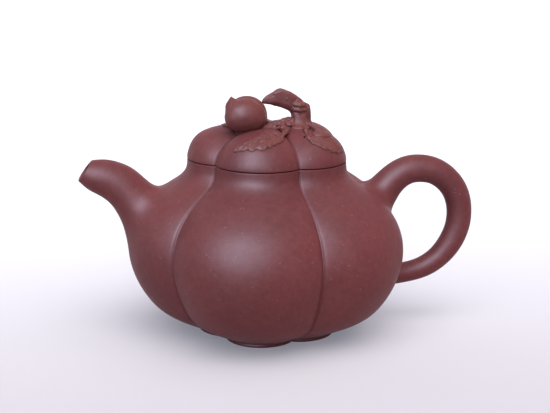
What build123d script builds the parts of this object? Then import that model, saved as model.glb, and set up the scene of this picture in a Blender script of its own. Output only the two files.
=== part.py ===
from build123d import *
import math
import os

os.makedirs("parts", exist_ok=True)

# ---------------------------------------------------------------------------
# Ribbed clay teapot, millimetres, +Z up.  The origin is the centre of the foot
# on the surface the pot stands on.  The spout points to -X, the handle to +X.
# ---------------------------------------------------------------------------
LOBES = 5
LOBE_PITCH = 360.0 / LOBES
FIRST_LOBE = 180.0  # a lobe faces the spout, so a groove faces the handle

WALL = 3.0  # clay wall of pot and lid
FOOT_HEIGHT = 1.3
FOOT_RADIUS = 27.0
FOOT_RATIO = 0.81
FOOT_BORE = 22.6
BASE_RADIUS = 24.6
BASE_THICKNESS = 3.0
RIM_HEIGHT = 67.0
FLANGE_CLEARANCE = 0.55
FLANGE_DEPTH = 8.0
FLANGE_WALL = 2.2
STRAINER_HOLE = 1.3  # radius
VENT_RADIUS = 0.7
VENT_AT = (11.0, -17.4)
LEAF_THICKNESS = 0.9

# height, radius over the lobe crests, groove radius as a share of that
BODY_PROFILE = [
    (1.30, 27.00, 0.815),
    (2.86, 29.73, 0.868),
    (4.36, 32.90, 0.882),
    (5.85, 36.10, 0.882),
    (7.49, 39.21, 0.880),
    (9.42, 42.10, 0.877),
    (11.76, 44.66, 0.874),
    (14.48, 46.88, 0.870),
    (17.42, 48.80, 0.869),
    (20.52, 50.43, 0.870),
    (27.11, 52.74, 0.875),
    (34.07, 53.57, 0.878),
    (40.98, 52.49, 0.874),
    (47.25, 49.38, 0.867),
    (52.38, 44.64, 0.860),
    (56.51, 39.04, 0.853),
    (60.50, 33.29, 0.852),
    (63.21, 31.31, 0.856),
    (RIM_HEIGHT, 30.78, 0.861),
]
LID_PROFILE = [
    (RIM_HEIGHT, 30.80, 0.860),
    (69.0, 30.60, 0.853),
    (71.5, 29.90, 0.832),
    (73.8, 28.75, 0.790),
    (75.6, 27.20, 0.735),
    (77.0, 25.30, 0.675),
    (78.2, 22.40, 0.615),
    (79.1, 18.90, 0.570),
]
CROWN = [(78.0, 10.2), (79.15, 9.9), (79.85, 7.4), (80.3, 4.4), (80.5, 1.5)]

# spout sections: upper and lower outline points (x, z) and half width in y
SPOUT = [
    ((-66.4, 67.0), (-71.7, 59.5), 4.6),
    ((-61.8, 67.2), (-68.2, 56.2), 6.2),
    ((-56.5, 66.1), (-64.0, 53.7), 7.0),
    ((-51.0, 63.4), (-60.1, 50.6), 7.6),
    ((-47.0, 59.9), (-57.4, 46.6), 8.3),
    ((-43.6, 56.9), (-55.2, 41.5), 9.6),
    ((-40.0, 54.0), (-53.4, 35.0), 11.4),
    ((-36.0, 50.0), (-49.0, 30.0), 12.5),
]
SPOUT_WALLS = [1.7, 2.0, 2.1, 2.2, 2.3, 2.6, 3.0, 3.2]

# handle centre line (x, z) and section radius, from the shoulder to the belly
HANDLE = [
    (33.5, 47.6, 7.6),
    (38.2, 51.5, 7.0),
    (42.9, 55.5, 6.1),
    (47.6, 59.0, 5.55),
    (52.7, 61.1, 5.35),
    (58.3, 61.6, 5.35),
    (63.9, 60.6, 5.20),
    (69.4, 57.2, 5.05),
    (73.4, 51.8, 4.95),
    (75.1, 45.3, 4.85),
    (74.7, 38.4, 4.75),
    (71.9, 31.4, 4.60),
    (67.3, 25.7, 4.30),
    (61.7, 22.0, 4.10),
    (55.5, 20.1, 3.95),
    (48.5, 19.2, 4.10),
    (40.0, 18.8, 4.60),
]

# branch that makes the knob: centre line (x, y, z) and radius
BRANCH = [
    ((11.6, -5.0, 77.6), 5.6),
    ((11.6, -5.0, 80.2), 4.5),
    ((11.6, -5.0, 82.6), 3.55),
    ((11.6, -5.0, 84.9), 3.5),
    ((10.3, -5.1, 87.4), 3.5),
    ((7.6, -5.2, 89.1), 3.45),
    ((4.4, -5.3, 90.2), 3.5),
    ((1.9, -5.4, 90.2), 2.9),
    ((0.3, -5.5, 89.9), 2.3),
    ((-1.4, -5.6, 89.4), 1.5),
    ((-2.5, -5.7, 89.0), 0.9),
]
TWIG = [
    ((9.4, -6.4, 82.2), 1.8),
    ((6.6, -6.9, 82.6), 1.3),
    ((4.4, -7.6, 82.0), 1.2),
    ((2.4, -8.6, 81.2), 1.05),
    ((0.2, -9.6, 80.8), 1.0),
    ((-3.0, -10.3, 80.9), 0.9),
]
STALK_LEFT = [
    ((8.2, -6.8, 81.4), 1.6),
    ((5.2, -8.8, 81.0), 1.35),
    ((4.0, -11.4, 79.9), 1.3),
    ((4.5, -14.0, 79.1), 1.25),
    ((3.9, -16.8, 78.7), 1.1),
    ((2.4, -19.4, 78.1), 0.9),
]
STALK_RIGHT = [
    ((11.9, -8.6, 80.6), 1.3),
    ((12.3, -11.6, 80.1), 1.1),
    ((12.6, -14.8, 79.2), 1.0),
    ((13.0, -17.8, 78.0), 0.95),
    ((13.9, -19.6, 76.9), 0.8),
]
# fruit, from the bottom up: height, centre x, half length in x, half width in y
PEACH_Y = -8.3
PEACH = [
    (78.85, -9.2, 2.0, 1.9),
    (79.6, -9.2, 4.1, 3.9),
    (80.9, -9.2, 6.1, 5.7),
    (82.9, -9.2, 7.6, 7.0),
    (85.3, -9.2, 8.05, 7.4),
    (87.3, -9.5, 7.6, 7.0),
    (89.0, -10.0, 6.5, 5.8),
    (90.2, -10.7, 5.1, 4.2),
    (91.0, -12.0, 3.3, 2.5),
    (91.5, -13.5, 1.7, 1.2),
    (92.0, -14.4, 0.5, 0.4),
]
LEAF_LEFT = [
    (-15.3, -22.8), (-12.6, -24.4), (-11.3, -25.8), (-9.6, -26.5), (-7.9, -26.7), (-5.5, -27.4),
    (-3.3, -26.5), (-1.0, -25.4), (1.0, -23.7), (2.4, -20.8), (2.0, -18.3), (1.3, -15.4),
    (-1.2, -15.2), (-4.2, -15.9), (-6.5, -17.0), (-8.5, -19.1), (-10.2, -21.0), (-12.2, -22.3),
]
LEAF_RIGHT = [
    (12.3, -18.9), (12.7, -20.4), (14.4, -20.9), (17.4, -21.3), (19.3, -20.9), (19.9, -20.5), (22.2, -19.2),
    (25.6, -15.5), (24.4, -14.6), (22.6, -14.4), (20.6, -15.0), (18.0, -16.4), (15.4, -17.6),
]
YOUNG_LEAF = [
    (13.8, -7.6), (15.2, -7.2), (15.9, -9.4), (18.6, -8.6), (21.4, -9.0), (22.6, -11.0), (22.2, -13.2),
    (19.6, -15.0), (17.2, -16.2), (15.4, -16.0), (14.5, -14.4), (14.6, -12.0), (14.4, -9.8),
]
LEAF_BACK = [
    (-18.3, -1.0), (-16.8, -3.0), (-15.1, -4.9), (-13.7, -7.5), (-12.4, -9.8), (-11.0, -11.7), (-8.0, -12.0),
    (-5.6, -9.8), (-4.2, -6.6), (-4.4, -2.6), (-6.6, 0.6), (-10.4, 2.0), (-14.0, 1.8), (-16.6, 0.4),
]


def lobed_outline(radius, ratio):
    """Closed sketch of five arcs that meet in grooves."""
    with BuildSketch() as outline:
        with BuildLine():
            for i in range(LOBES):
                mid = math.radians(FIRST_LOBE + i * LOBE_PITCH)
                half = math.radians(LOBE_PITCH / 2)
                ThreePointArc(
                    (ratio * radius * math.cos(mid - half), ratio * radius * math.sin(mid - half)),
                    (radius * math.cos(mid), radius * math.sin(mid)),
                    (ratio * radius * math.cos(mid + half), ratio * radius * math.sin(mid + half)),
                )
        make_face()
    return outline.sketch


def shifted(profile, distance):
    """Profile rows moved along the outward normal of the crest line."""
    rows = []
    for i, (z, r, k) in enumerate(profile):
        z0, r0, _ = profile[max(i - 1, 0)]
        z1, r1, _ = profile[min(i + 1, len(profile) - 1)]
        length = math.hypot(r1 - r0, z1 - z0)
        nr, nz = (z1 - z0) / length, -(r1 - r0) / length
        radius = r + distance * nr
        groove = k * r + 1.06 * distance * nr
        rows.append((z + distance * nz, radius, groove / radius))
    return rows


def above(profile, floor):
    """Profile rows above a floor height, with a first row on the floor itself."""
    for (z0, r0, k0), (z1, r1, k1) in zip(profile, profile[1:]):
        if z0 <= floor < z1:
            t = (floor - z0) / (z1 - z0)
            start = (floor, r0 + t * (r1 - r0), k0 + t * (k1 - k0))
    return [start] + [row for row in profile if row[0] > floor + 0.5]


def tube(stations):
    """Round solid lofted along a chain of (point, radius) stations."""
    points = [Vector(*p) for p, _ in stations]
    with BuildPart() as run:
        for i, (p, radius) in enumerate(stations):
            direction = points[min(i + 1, len(points) - 1)] - points[max(i - 1, 0)]
            with BuildSketch(Plane(origin=p, x_dir=(0, 1, 0), z_dir=direction)):
                Circle(radius)
        loft()
    return run.part


def crown(lift):
    """Low round rise in the middle of the lid, raised by lift."""
    with BuildPart() as rise:
        for z, r in CROWN:
            with BuildSketch(Plane.XY.offset(z + (lift if z > 79 else 0))):
                Circle(r)
        loft()
    return rise.part


# --- pot -------------------------------------------------------------------
with BuildPart() as pot_outer:
    for z, r, k in BODY_PROFILE:
        with BuildSketch(Plane.XY.offset(z)):
            add(lobed_outline(r, k))
    loft()

FLOOR = FOOT_HEIGHT + BASE_THICKNESS
pot_inner_profile = above(shifted(BODY_PROFILE, -WALL), FLOOR)
MOUTH_RADIUS, MOUTH_RATIO = pot_inner_profile[-1][1], pot_inner_profile[-1][2]

with BuildPart() as pot_body:
    add(pot_outer.part)
    for z, r, k in pot_inner_profile + [(RIM_HEIGHT + 4, MOUTH_RADIUS, MOUTH_RATIO)]:
        with BuildSketch(Plane.XY.offset(z)):
            add(lobed_outline(r, k))
    loft(mode=Mode.SUBTRACT)
    # seat of the base slab
    with BuildSketch(Plane.XY.offset(FOOT_HEIGHT)):
        add(lobed_outline(BASE_RADIUS, FOOT_RATIO))
    extrude(amount=BASE_THICKNESS, mode=Mode.SUBTRACT)
    # strainer holes through the wall behind the spout
    with BuildSketch(Plane(origin=(-50.0, 0, 46.0), x_dir=(0, 1, 0), z_dir=(-0.86, 0, 0.51))):
        Circle(STRAINER_HOLE)
        with PolarLocations(5.0, 6):
            Circle(STRAINER_HOLE)
    extrude(amount=8, both=True, mode=Mode.SUBTRACT)
pot_body.part.label = "pot_body"
export_step(pot_body.part, "parts/pot_body.step")

with BuildPart() as base:
    with BuildSketch(Plane.XY.offset(FOOT_HEIGHT)):
        add(lobed_outline(BASE_RADIUS, FOOT_RATIO))
    extrude(amount=BASE_THICKNESS)
base.part.label = "base"
export_step(base.part, "parts/base.step")

with BuildPart() as foot_ring:
    with BuildSketch():
        add(lobed_outline(FOOT_RADIUS, FOOT_RATIO))
    extrude(amount=FOOT_HEIGHT)
    with BuildSketch():
        add(lobed_outline(FOOT_BORE, FOOT_RATIO))
    extrude(amount=FOOT_HEIGHT, mode=Mode.SUBTRACT)
foot_ring.part.label = "foot_ring"
export_step(foot_ring.part, "parts/foot_ring.step")

# --- spout -----------------------------------------------------------------
with BuildPart() as spout:
    for upper, lower, half_width in SPOUT:
        dx, dz = upper[0] - lower[0], upper[1] - lower[1]
        half = math.hypot(dx, dz) / 2
        centre = ((upper[0] + lower[0]) / 2, 0, (upper[1] + lower[1]) / 2)
        with BuildSketch(Plane(origin=centre, x_dir=(0, 1, 0), z_dir=(-dz, 0, dx))):
            Ellipse(half_width, half)
    loft()
    add(pot_outer.part, mode=Mode.SUBTRACT)
    for i, ((upper, lower, half_width), wall) in enumerate(
        [(SPOUT[0], SPOUT_WALLS[0])] + list(zip(SPOUT, SPOUT_WALLS))
    ):
        dx, dz = upper[0] - lower[0], upper[1] - lower[1]
        half = math.hypot(dx, dz) / 2
        reach = 2.0 / (2 * half) if i == 0 else 0.0
        centre = ((upper[0] + lower[0]) / 2 - dz * reach, 0, (upper[1] + lower[1]) / 2 + dx * reach)
        with BuildSketch(Plane(origin=centre, x_dir=(0, 1, 0), z_dir=(-dz, 0, dx))):
            Ellipse(half_width - wall, half - wall)
    loft(mode=Mode.SUBTRACT)
spout.part.label = "spout"
export_step(spout.part, "parts/spout.step")

# --- handle ----------------------------------------------------------------
with BuildPart() as handle:
    add(tube([((x, 0, z), r) for x, z, r in HANDLE]))
    add(pot_outer.part, mode=Mode.SUBTRACT)
handle.part.label = "handle"
export_step(handle.part, "parts/handle.step")

# --- lid -------------------------------------------------------------------
FLANGE_RADIUS = MOUTH_RADIUS - FLANGE_CLEARANCE
FLANGE_RATIO = (MOUTH_RADIUS * MOUTH_RATIO - FLANGE_CLEARANCE * 1.1) / FLANGE_RADIUS
HOLLOW_RADIUS = FLANGE_RADIUS - FLANGE_WALL
HOLLOW_RATIO = (FLANGE_RADIUS * FLANGE_RATIO - FLANGE_WALL * 1.06) / HOLLOW_RADIUS

with BuildPart() as dome_outer:
    for z, r, k in LID_PROFILE:
        with BuildSketch(Plane.XY.offset(z)):
            add(lobed_outline(r, k))
    loft()
    add(crown(0.0))

with BuildPart() as lid_dome:
    add(dome_outer.part)
    for z, r, k in [
        (RIM_HEIGHT - 1.0, HOLLOW_RADIUS, HOLLOW_RATIO),
        (RIM_HEIGHT + 3.5, HOLLOW_RADIUS, HOLLOW_RATIO),
        (72.8, 23.6, 0.80),
        (74.6, 21.2, 0.74),
        (75.8, 17.6, 0.70),
    ]:
        with BuildSketch(Plane.XY.offset(z)):
            add(lobed_outline(r, k))
    loft(mode=Mode.SUBTRACT)
    with BuildSketch(Plane.XY.offset(84)):
        with Locations(VENT_AT):
            Circle(VENT_RADIUS)
    extrude(amount=-16, mode=Mode.SUBTRACT)
lid_dome.part.label = "lid_dome"
export_step(lid_dome.part, "parts/lid_dome.step")

with BuildPart() as lid_flange:
    with BuildSketch(Plane.XY.offset(RIM_HEIGHT - FLANGE_DEPTH)):
        add(lobed_outline(FLANGE_RADIUS, FLANGE_RATIO))
    extrude(amount=FLANGE_DEPTH)
    with BuildSketch(Plane.XY.offset(RIM_HEIGHT - FLANGE_DEPTH)):
        add(lobed_outline(HOLLOW_RADIUS, HOLLOW_RATIO))
    extrude(amount=FLANGE_DEPTH, mode=Mode.SUBTRACT)
lid_flange.part.label = "lid_flange"
export_step(lid_flange.part, "parts/lid_flange.step")

# --- knob: branch, twig and peach ------------------------------------------
with BuildPart() as branch:
    add(tube(BRANCH))
    add(dome_outer.part, mode=Mode.SUBTRACT)
branch.part.label = "branch"
export_step(branch.part, "parts/branch.step")

with BuildPart() as peach:
    for z, x, a, b in PEACH:
        with BuildSketch(Plane(origin=(x, PEACH_Y, z))):
            Ellipse(a, b)
    loft()
    add(dome_outer.part, mode=Mode.SUBTRACT)
    add(branch.part, mode=Mode.SUBTRACT)
peach.part.label = "peach"
export_step(peach.part, "parts/peach.step")

with BuildPart() as twig:
    add(tube(TWIG))
    add(dome_outer.part, mode=Mode.SUBTRACT)
    add(branch.part, mode=Mode.SUBTRACT)
    add(peach.part, mode=Mode.SUBTRACT)
twig.part.label = "twig"
export_step(twig.part, "parts/twig.step")

# --- leaves, draped over the dome ------------------------------------------
with BuildPart() as leaf_shell:
    for z, r, k in [(RIM_HEIGHT, 31.8, 0.862)] + shifted(LID_PROFILE, LEAF_THICKNESS)[1:]:
        with BuildSketch(Plane.XY.offset(z)):
            add(lobed_outline(r, k))
    loft()
    add(crown(LEAF_THICKNESS))
    add(dome_outer.part, mode=Mode.SUBTRACT)

leaf_parts = {}
for name, outline in (
    ("leaf_left", LEAF_LEFT),
    ("leaf_right", LEAF_RIGHT),
    ("young_leaf", YOUNG_LEAF),
    ("leaf_back", LEAF_BACK),
):
    with BuildPart() as leaf:
        with BuildSketch(Plane.XY.offset(68)):
            with BuildLine():
                Polyline(*outline, close=True)
            make_face()
        extrude(amount=16)
        add(leaf_shell.part, mode=Mode.INTERSECT)
        add(branch.part, mode=Mode.SUBTRACT)
        add(peach.part, mode=Mode.SUBTRACT)
        add(twig.part, mode=Mode.SUBTRACT)
    leaf_parts[name] = leaf
    leaf.part.label = name
    export_step(leaf.part, f"parts/{name}.step")

with BuildPart() as stalk_left:
    add(tube(STALK_LEFT))
    for other in (dome_outer, branch, twig, leaf_parts["leaf_left"]):
        add(other.part, mode=Mode.SUBTRACT)
stalk_left.part.label = "stalk_left"
export_step(stalk_left.part, "parts/stalk_left.step")

with BuildPart() as stalk_right:
    add(tube(STALK_RIGHT))
    for other in (dome_outer, branch, twig, stalk_left, leaf_parts["leaf_right"], leaf_parts["young_leaf"]):
        add(other.part, mode=Mode.SUBTRACT)
stalk_right.part.label = "stalk_right"
export_step(stalk_right.part, "parts/stalk_right.step")

for name, piece in (
    ("pot_body", pot_body), ("base", base), ("foot_ring", foot_ring), ("spout", spout), ("handle", handle),
    ("lid_dome", lid_dome), ("lid_flange", lid_flange), ("branch", branch), ("peach", peach), ("twig", twig),
    ("stalk_left", stalk_left), ("stalk_right", stalk_right),
):
    print(name, len(piece.part.solids()), round(piece.part.volume, 1))
print("mouth", round(MOUTH_RADIUS, 2), round(MOUTH_RATIO, 3), "flange", round(FLANGE_RADIUS, 2), round(FLANGE_RATIO, 3), "hollow", round(HOLLOW_RADIUS, 2), round(HOLLOW_RATIO, 3))
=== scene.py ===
import bpy
import math
import bmesh
import numpy as np
from mathutils import Matrix, Vector


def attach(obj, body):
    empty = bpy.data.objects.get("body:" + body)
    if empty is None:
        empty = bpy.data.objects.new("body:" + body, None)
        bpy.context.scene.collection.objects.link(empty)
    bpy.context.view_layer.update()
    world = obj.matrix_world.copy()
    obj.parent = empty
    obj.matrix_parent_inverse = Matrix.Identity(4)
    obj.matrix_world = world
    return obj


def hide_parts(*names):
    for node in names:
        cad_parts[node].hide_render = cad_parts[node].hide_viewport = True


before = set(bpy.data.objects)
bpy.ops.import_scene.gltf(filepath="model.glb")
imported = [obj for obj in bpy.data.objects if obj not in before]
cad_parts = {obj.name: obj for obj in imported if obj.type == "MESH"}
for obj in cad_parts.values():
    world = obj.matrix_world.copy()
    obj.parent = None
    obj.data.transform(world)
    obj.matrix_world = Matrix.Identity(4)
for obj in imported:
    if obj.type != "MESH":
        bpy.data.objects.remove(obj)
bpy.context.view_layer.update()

# ---------------------------------------------------------------------------
# All shapes are worked out in millimetres in the frame's axes and scaled to
# metres when a mesh is made.  +Z up, spout towards -X, handle towards +X.
# ---------------------------------------------------------------------------
MM = 0.001
LOBES = 5
HALF = 36.0          # half of a lobe, degrees
FIRST = 180.0        # a lobe faces the spout
CREASE = 0.010       # how far the groove's bottom is rounded, share of half a lobe
WALL = 3.0
RIM = 67.0
rng = np.random.default_rng(7)

BODY = np.array([  # z, crest radius, groove ratio
    (1.30, 27.00, .815), (2.86, 29.73, .868), (4.36, 32.90, .882), (5.85, 36.10, .882), (7.49, 39.21, .880),
    (9.42, 42.10, .877), (11.76, 44.66, .874), (14.48, 46.88, .870), (17.42, 48.80, .869), (20.52, 50.43, .870),
    (23.75, 51.75, .872), (27.11, 52.74, .875), (30.57, 53.37, .877), (34.07, 53.57, .878), (37.56, 53.30, .877),
    (40.98, 52.49, .874), (44.24, 51.17, .871), (47.25, 49.38, .867), (49.96, 47.17, .863), (52.38, 44.64, .860),
    (54.54, 41.91, .856), (56.51, 39.04, .853), (58.41, 36.07, .851), (60.50, 33.29, .852), (63.21, 31.31, .856),
    (RIM, 30.78, .861)])
LID_CREST = np.array([  # radius, z from the rim to the centre
    (30.80, 67.00), (30.75, 68.4), (30.35, 70.2), (29.45, 72.6), (27.9, 75.0), (25.5, 76.9), (22.0, 78.35),
    (17.0, 79.5), (11.0, 80.25), (5.0, 80.6), (0.0, 80.7)])
LID_GROOVE = np.array([
    (26.5, 67.00), (26.35, 68.4), (25.7, 70.2), (24.1, 72.4), (21.3, 74.6), (17.8, 76.4), (13.4, 78.0),
    (9.0, 79.1), (5.2, 79.85), (2.2, 80.4), (0.0, 80.7)])
SPOUT = [  # upper (x, z), lower (x, z), half width in y, wall
    ((-66.4, 67.0), (-71.7, 59.5), 4.6, 1.6), ((-61.8, 67.2), (-68.2, 56.2), 6.2, 1.9),
    ((-56.5, 66.1), (-64.0, 53.7), 7.0, 2.1), ((-51.0, 63.4), (-60.1, 50.6), 7.6, 2.2),
    ((-47.0, 59.9), (-57.4, 46.6), 8.3, 2.3), ((-43.6, 56.9), (-55.3, 41.5), 9.6, 2.6),
    ((-40.0, 54.0), (-53.5, 35.0), 11.4, 3.0), ((-36.0, 50.0), (-49.5, 29.0), 12.5, 3.2)]
HANDLE = np.array([  # x, z, radius
    (33.0, 43.8, 7.6), (38.5, 47.2, 7.4), (43.0, 51.2, 6.8), (46.3, 55.3, 6.0), (50.4, 59.1, 5.6),
    (55.0, 61.2, 5.45), (59.0, 61.5, 5.35), (63.9, 60.6, 5.2), (69.4, 57.2, 5.05), (73.4, 51.8, 4.95), (75.1, 45.3, 4.85),
    (74.7, 38.4, 4.75), (71.9, 31.4, 4.6), (67.3, 25.7, 4.3), (61.7, 22.0, 4.1), (55.5, 20.1, 3.95),
    (48.5, 19.2, 4.1), (40.0, 18.8, 4.6)])


# --- small numeric tools -----------------------------------------------------
def spline(x, y):
    """Natural cubic spline through the points; y may have several columns."""
    x = np.asarray(x, float)
    y = np.asarray(y, float)
    flat = y.ndim == 1
    Y = y[:, None] if flat else y
    n = len(x)
    h = np.diff(x)
    A = np.zeros((n, n))
    B = np.zeros((n, Y.shape[1]))
    A[0, 0] = A[-1, -1] = 1
    for i in range(1, n - 1):
        A[i, i - 1], A[i, i], A[i, i + 1] = h[i - 1], 2 * (h[i - 1] + h[i]), h[i]
        B[i] = 6 * ((Y[i + 1] - Y[i]) / h[i] - (Y[i] - Y[i - 1]) / h[i - 1])
    M = np.linalg.solve(A, B)

    def f(t):
        t = np.asarray(t, float)
        i = np.clip(np.searchsorted(x, t, side="right") - 1, 0, n - 2)
        a, b = x[i + 1] - t, t - x[i]
        H = h[i][..., None]
        a, b = a[..., None], b[..., None]
        r = (M[i] * a ** 3 + M[i + 1] * b ** 3) / (6 * H) + (Y[i] / H - M[i] * H / 6) * a + (Y[i + 1] / H - M[i + 1] * H / 6) * b
        return r[..., 0] if flat else r
    return f


def chord(P):
    s = np.concatenate([[0], np.cumsum(np.linalg.norm(np.diff(P, axis=0), axis=1))])
    return s / s[-1]


def unit(v):
    return v / np.maximum(np.linalg.norm(v, axis=-1, keepdims=True), 1e-12)


def lump(X, seed, scale, octaves=3):
    """Smooth value in -1..1 over space, a sum of sines in fixed directions."""
    r = np.random.default_rng(seed)
    out = np.zeros(X.shape[:-1])
    amp, total = 1.0, 0.0
    for o in range(octaves):
        for _ in range(5):
            d = r.normal(size=3)
            d /= np.linalg.norm(d)
            out += amp * np.sin(X @ d * (2 * math.pi / scale) * 2 ** o + r.uniform(0, 6.28))
        total += amp * 5
        amp *= 0.5
    return out / (total * 0.45)


def mesh_object(name, V, quads=(), tris=(), sharp=None):
    me = bpy.data.meshes.new(name)
    quads = np.asarray(quads, np.int64).reshape(-1, 4)
    tris = np.asarray(tris, np.int64).reshape(-1, 3)
    loops = np.concatenate([quads.ravel(), tris.ravel()]).astype(np.int32)
    me.vertices.add(len(V))
    me.vertices.foreach_set("co", (np.asarray(V, float) * MM).astype(np.float32).ravel())
    me.loops.add(len(loops))
    me.loops.foreach_set("vertex_index", loops)
    n = len(quads) + len(tris)
    starts = np.concatenate([np.arange(len(quads)) * 4, len(quads) * 4 + np.arange(len(tris)) * 3]).astype(np.int32)
    me.polygons.add(n)
    me.polygons.foreach_set("loop_start", starts)
    me.update(calc_edges=True)
    me.validate()
    me.polygons.foreach_set("use_smooth", np.ones(len(me.polygons), bool))
    ob = bpy.data.objects.new(name, me)
    bpy.context.scene.collection.objects.link(ob)
    if sharp is not None:
        me.set_sharp_from_angle(angle=math.radians(sharp))
    return ob


def ring_quads(rows, cols, close_cols=True, close_rows=False, base=0):
    i = np.arange(rows if close_rows else rows - 1)
    j = np.arange(cols if close_cols else cols - 1)
    I, J = np.meshgrid(i, j, indexing="ij")
    I2, J2 = (I + 1) % rows, (J + 1) % cols
    return (np.stack([I * cols + J, I * cols + J2, I2 * cols + J2, I2 * cols + J], -1).reshape(-1, 4) + base)


# --- lobed surfaces ------------------------------------------------------------
def lobe_u(phi):
    """0 in a groove, 1 on a crest, for an angle in degrees from +X."""
    loc = (phi - FIRST + HALF) % (2 * HALF) - HALF
    return 1 - np.abs(loc) / HALF


def swell(u, crease=CREASE):
    su = np.sqrt(u * u + crease * crease) - crease
    return 2 * su - su * su


def angles(per_half=42, power=1.6):
    """Angles round the pot, closer together next to each groove."""
    t = np.linspace(0, 1, per_half + 1)
    u = t ** power
    a = []
    for i in range(LOBES):
        mid = FIRST + i * 2 * HALF
        a.append(mid - HALF * (1 - u)[:-1])
        a.append(mid + HALF * (1 - u[::-1])[:-1])
    return np.concatenate(a)


PHI = angles()
# the groove itself is drawn in with a thin tool after the lobes are shaped
GP = swell(lobe_u(PHI)) - 0.11 * np.exp(-(lobe_u(PHI) / 0.020) ** 2)
CO, SI = np.cos(np.radians(PHI)), np.sin(np.radians(PHI))


def lathe_rows(rows, g=None, co=None, si=None):
    """Rows of (crest r, groove r, crest z, groove z) to a grid of points."""
    g, co, si = (GP, CO, SI) if g is None else (g, co, si)
    rows = np.asarray(rows, float)
    r = rows[:, 1:2] + (rows[:, 0:1] - rows[:, 1:2]) * g[None]
    z = rows[:, 3:4] + (rows[:, 2:3] - rows[:, 3:4]) * g[None]
    return np.stack([r * co[None], r * si[None], z], -1)


def rounded(rows, i, radius, n=5):
    """Replace the corner at row i with an arc-like bend of that radius."""
    rows = [np.asarray(r, float) for r in rows]
    a, b, c = rows[i - 1], rows[i], rows[(i + 1) % len(rows)]

    def step(p, q):
        d = q - p
        ln = math.hypot(d[0], d[2])
        return d * min(radius / max(ln, 1e-9), 0.5)
    p, q = b + step(b, a), b + step(b, c)
    t = np.linspace(0, 1, n)[:, None]
    bend = (1 - t) ** 2 * p + 2 * t * (1 - t) * b + t * t * q
    return rows[:i] + list(bend) + rows[i + 1:]


def lathe(name, rows, closed=True, sharp=None, wobble=0.0, seed=1, poles=False):
    """A closed ring or a capped solid from profile rows."""
    P = lathe_rows(rows)
    n, m = P.shape[:2]
    V = P.reshape(-1, 3)
    quads = ring_quads(n, m, True, closed)
    tris = []
    if poles:  # the first and last rows close on the axis
        V = np.concatenate([V, [[0, 0, rows[0][2]], [0, 0, rows[-1][2]]]])
        j = np.arange(m)
        a, b = len(V) - 2, len(V) - 1
        tris = np.concatenate([np.stack([(j + 1) % m, j, np.full(m, a)], -1),
                               np.stack([(n - 1) * m + j, (n - 1) * m + (j + 1) % m, np.full(m, b)], -1)])
    if wobble:
        d = lump(V, seed, 38.0, 2) * wobble
        rad = unit(V * np.array([1, 1, 0.0]))
        V = V + rad * d[:, None]
    return mesh_object(name, V, quads, tris, sharp)


body_t = chord(BODY[:, :2])
body_f = spline(body_t, BODY)
_tt = np.linspace(0, 1, 1201)
_bt = body_f(_tt)


def body_radius(phi, z):
    R = np.interp(z, _bt[:, 0], _bt[:, 1])
    k = np.interp(z, _bt[:, 0], _bt[:, 2])
    return R * (k + (1 - k) * swell(lobe_u(phi)))


def body_field(X):
    """Signed distance, roughly, to the outside of the pot."""
    r = np.hypot(X[..., 0], X[..., 1])
    phi = np.degrees(np.arctan2(X[..., 1], X[..., 0]))
    z = np.clip(X[..., 2], 1.4, RIM - 0.1)
    R = body_radius(phi, z)
    slope = (body_radius(phi, z + 0.1) - body_radius(phi, z - 0.1)) / 0.2
    return (r - R) / np.sqrt(1 + slope ** 2)


def gradient(field, X, h=0.03):
    g = np.stack([(field(X + np.eye(3)[i] * h) - field(X - np.eye(3)[i] * h)) / (2 * h) for i in range(3)], -1)
    return g


def settle(field, X, level=0.0, steps=6):
    """Move points onto the surface where the field has that level."""
    X = X.copy()
    for _ in range(steps):
        g = gradient(field, X)
        X -= g * ((field(X) - level) / np.maximum((g * g).sum(-1), 1e-6))[..., None]
    return X


crest_s = chord(LID_CREST)
lid_c, lid_g = spline(crest_s, LID_CREST), spline(crest_s, LID_GROOVE)
_ls = np.linspace(0, 1, 401)
_lc, _lg = lid_c(_ls), lid_g(_ls)


def lid_height(x, y):
    """Height of the lid's outside above a point in plan."""
    x, y = np.broadcast_arrays(np.asarray(x, float), np.asarray(y, float))
    g = swell(lobe_u(np.degrees(np.arctan2(y, x))))[..., None]
    r = _lg[:, 0] + (_lc[:, 0] - _lg[:, 0]) * g
    z = _lg[:, 1] + (_lc[:, 1] - _lg[:, 1]) * g
    q = np.hypot(x, y)
    shape = q.shape
    r, z, q = r.reshape(-1, r.shape[-1]), z.reshape(-1, z.shape[-1]), q.ravel()
    k = (r >= q[:, None]).sum(1).clip(1, r.shape[1] - 1)  # radius falls from rim to centre
    i = np.arange(len(q))
    r0, r1, z0, z1 = r[i, k - 1], r[i, k], z[i, k - 1], z[i, k]
    t = np.clip((r0 - q) / np.maximum(r0 - r1, 1e-6), 0, 1)
    out = z0 + (z1 - z0) * t
    out = np.where(q > r[:, 0], z[:, 0] - (q - r[:, 0]) * 4, out)
    return out.reshape(shape)


_grid_n = 241
_gx = np.linspace(-34, 34, _grid_n)
_gz = lid_height(*np.meshgrid(_gx, _gx, indexing="ij"))


def lid_top(x, y):
    """lid_height from a table, for many points."""
    fx = np.clip((np.asarray(x) + 34) / 68 * (_grid_n - 1), 0, _grid_n - 1.001)
    fy = np.clip((np.asarray(y) + 34) / 68 * (_grid_n - 1), 0, _grid_n - 1.001)
    i, j = fx.astype(int), fy.astype(int)
    u, v = fx - i, fy - j
    return (_gz[i, j] * (1 - u) * (1 - v) + _gz[i + 1, j] * u * (1 - v) + _gz[i, j + 1] * (1 - u) * v + _gz[i + 1, j + 1] * u * v)


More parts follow.
